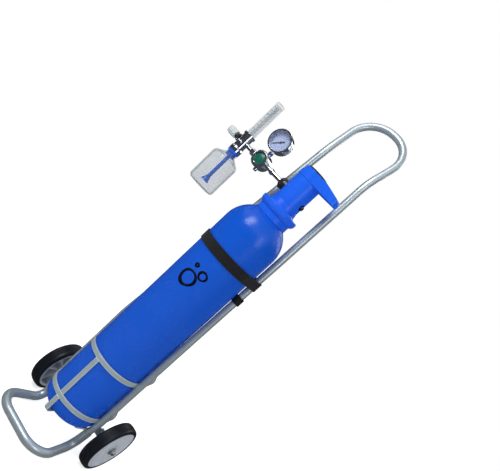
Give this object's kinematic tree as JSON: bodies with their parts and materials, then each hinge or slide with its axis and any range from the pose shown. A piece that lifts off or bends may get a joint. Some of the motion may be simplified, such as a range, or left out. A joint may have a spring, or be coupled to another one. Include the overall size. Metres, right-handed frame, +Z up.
{
  "type": "oxygen cylinder hand cart",
  "caption": "Gas cylinder strapped on a wheeled hand cart, with valve guard, pressure gauge, flowmeter and humidifier bottle.",
  "frame": {"origin": "on the floor, under the middle of the whole object's box", "axes": "+Z up along the cylinder, -Y to the front where the foot loop and the cage are, +X to the right seen from the back"},
  "size_m": [0.3966, 0.2802, 1.0831],
  "materials": {
    "cylinder_paint": "gloss",
    "zinc_tube": "satin",
    "cage_bar": "satin",
    "hub_plastic": "satin",
    "tyre_rubber": "matte",
    "strap_web": "woven",
    "black_plastic": "satin",
    "black_rubber": "matte",
    "guard_plastic": "gloss",
    "brass": "satin",
    "chrome": "polished",
    "plated_steel": "satin",
    "dark_steel": "satin",
    "clear_plastic": "clear",
    "dial_face": "satin",
    "pointer_black": "satin",
    "green_cover": "gloss",
    "knob_plastic": "gloss",
    "blue_trim": "gloss",
    "bush_plastic": "satin"
  },
  "bodies": {
    "frame": {"rail_and_handle_tube": "zinc_tube", "foot_loop": "zinc_tube", "lower_rear_hoop": "zinc_tube", "upper_rear_hoop": "zinc_tube", "lower_front_hoop": "cage_bar", "upper_front_hoop": "cage_bar", "front_upright": "cage_bar", "bottom_hook": "cage_bar", "bottom_cradle": "cage_bar", "axle_arms": "zinc_tube", "stub_axles": "plated_steel", "axle_cap_nuts": "plated_steel", "axle_washers": "plated_steel", "strap": "strap_web", "strap_buckle": "black_plastic", "strap_rail_clips": "black_rubber", "cylinder_shell": "cylinder_paint", "valve_body": "brass", "valve_gland_nut": "brass", "burst_disc_plug": "dark_steel", "valve_guard": "guard_plastic", "inlet_nut": "dark_steel", "inlet_stem": "chrome", "regulator_body": "chrome", "regulator_bezel": "chrome", "regulator_cover": "green_cover", "diaphragm": "black_rubber", "relief_valve": "chrome", "gauge_stem": "chrome", "gauge_case": "chrome", "gauge_dial": "dial_face", "gauge_lens": "clear_plastic", "bourdon_tube": "brass", "outlet_nipple": "chrome", "flowmeter_body": "chrome", "flow_tube": "clear_plastic", "metering_tube": "clear_plastic", "knob_packing_nut": "dark_steel", "hose_nozzle": "chrome", "bottle_collar": "blue_trim", "humidifier_bottle": "clear_plastic", "dip_tube": "blue_trim", "bubble_diffuser": "blue_trim"},
    "right_wheel": {"right_tyre": "tyre_rubber", "right_hub": "hub_plastic", "right_bushes": "bush_plastic"},
    "left_wheel": {"left_tyre": "tyre_rubber", "left_hub": "hub_plastic", "left_bushes": "bush_plastic"},
    "valve_wheel": {"valve_spindle": "plated_steel", "valve_handwheel": "black_plastic", "handwheel_screw": "plated_steel"},
    "flow_control": {"flow_knob": "knob_plastic", "needle_stem": "plated_steel"},
    "pointer": {"gauge_pointer": "pointer_black"},
    "float": {"float_ball": "plated_steel"}
  },
  "joints": [
    {"name": "right_wheel_spin", "type": "hinge", "parent": "frame", "child": "right_wheel", "pos_m": [0.17115, 0.056, 0.075], "axis": [1, 0, 0], "continuous": true},
    {"name": "left_wheel_spin", "type": "hinge", "parent": "frame", "child": "left_wheel", "pos_m": [-0.08085, 0.056, 0.075], "axis": [1, 0, 0], "continuous": true},
    {"name": "valve_open", "type": "hinge", "parent": "frame", "child": "valve_wheel", "pos_m": [0.04515, -0.002, 0.87], "axis": [0, 0, 1], "range_deg": [0, 720]},
    {"name": "flow_adjust", "type": "hinge", "parent": "frame", "child": "flow_control", "pos_m": [-0.18585, -0.002, 0.8085], "axis": [-1, 0, 0], "range_deg": [0, 720]},
    {"name": "gauge_reading", "type": "hinge", "parent": "frame", "child": "pointer", "pos_m": [-0.07485, -0.002, 0.868], "axis": [0, 1, 0], "range_deg": [0, 270], "stiffness_Nm_per_rad": 0.0002},
    {"name": "float_rise", "type": "slide", "parent": "frame", "child": "float", "axis": [0, 0, 1], "range_m": [0, 0.075]}
  ]
}
